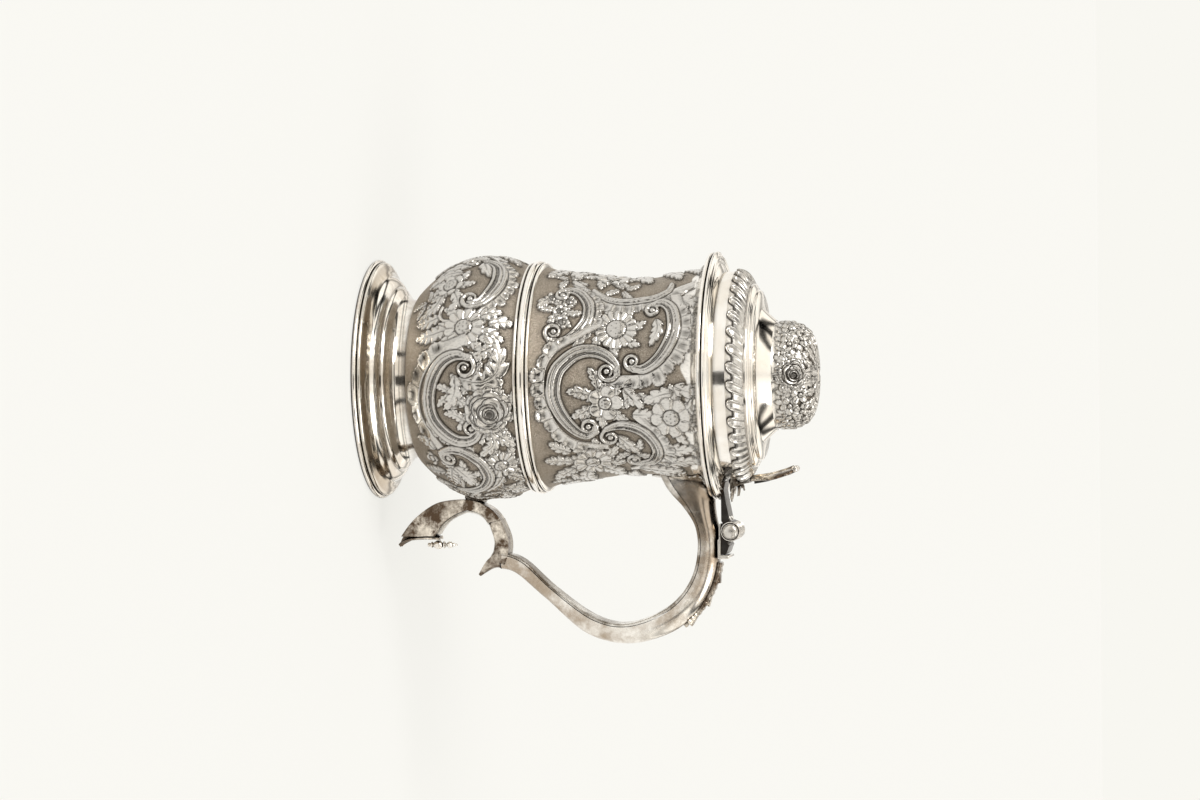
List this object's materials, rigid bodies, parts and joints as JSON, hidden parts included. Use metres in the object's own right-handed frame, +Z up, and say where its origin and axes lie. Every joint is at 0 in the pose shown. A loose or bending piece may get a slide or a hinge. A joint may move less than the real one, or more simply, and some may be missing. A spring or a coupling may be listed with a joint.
{
  "type": "lidded tankard",
  "caption": "Baluster tankard with a domed hinged lid, a pierced thumbpiece, a double-scroll handle and chased flowers and scrolls over the belly and waist.",
  "frame": {"origin": "on the floor under the foot, in the middle of the whole object's box from the body's far side to the back of the handle", "axes": "+Z up along the body's axis, +X from the body's axis towards the handle, +Y across the handle, with -Y towards the camera of the picture"},
  "size_m": [0.1748, 0.1108, 0.2],
  "materials": {
    "silver": "polished",
    "worn_silver": "tarnished satin"
  },
  "bodies": {
    "tankard": {"foot": "worn_silver", "foot_rim_wire": "silver", "body": "silver", "girdle_band": "silver", "handle_outer_half": "worn_silver", "handle_inner_half": "worn_silver", "handle_spur": "worn_silver", "lower_scroll": "worn_silver", "handle_terminal": "worn_silver", "terminal_shield": "silver", "terminal_bud": "silver", "lower_joint_boss": "worn_silver", "upper_joint_leaf": "silver", "handle_knuckle_front": "silver", "handle_knuckle_middle": "silver", "handle_knuckle_rear": "silver", "hinge_pin": "silver", "pin_head_front": "silver", "pin_head_rear": "silver", "hinge_plate": "worn_silver", "hinge_drop_strip": "worn_silver", "hinge_drop_leaf_upper": "silver", "hinge_drop_leaf_middle": "silver", "hinge_drop_leaf_lower": "silver"},
    "lid": {"lid": "silver", "lid_bezel": "silver", "lid_dome": "silver", "lid_knuckle_front": "silver", "lid_knuckle_rear": "silver", "lid_strap": "worn_silver", "thumbpiece_leaf": "worn_silver", "thumbpiece": "worn_silver"}
  },
  "joints": [
    {"name": "lid_hinge", "type": "hinge", "parent": "tankard", "child": "lid", "pos_m": [0.03703, 0, 0.16087], "axis": [0, 1, 0], "range_deg": [0, 130]}
  ]
}
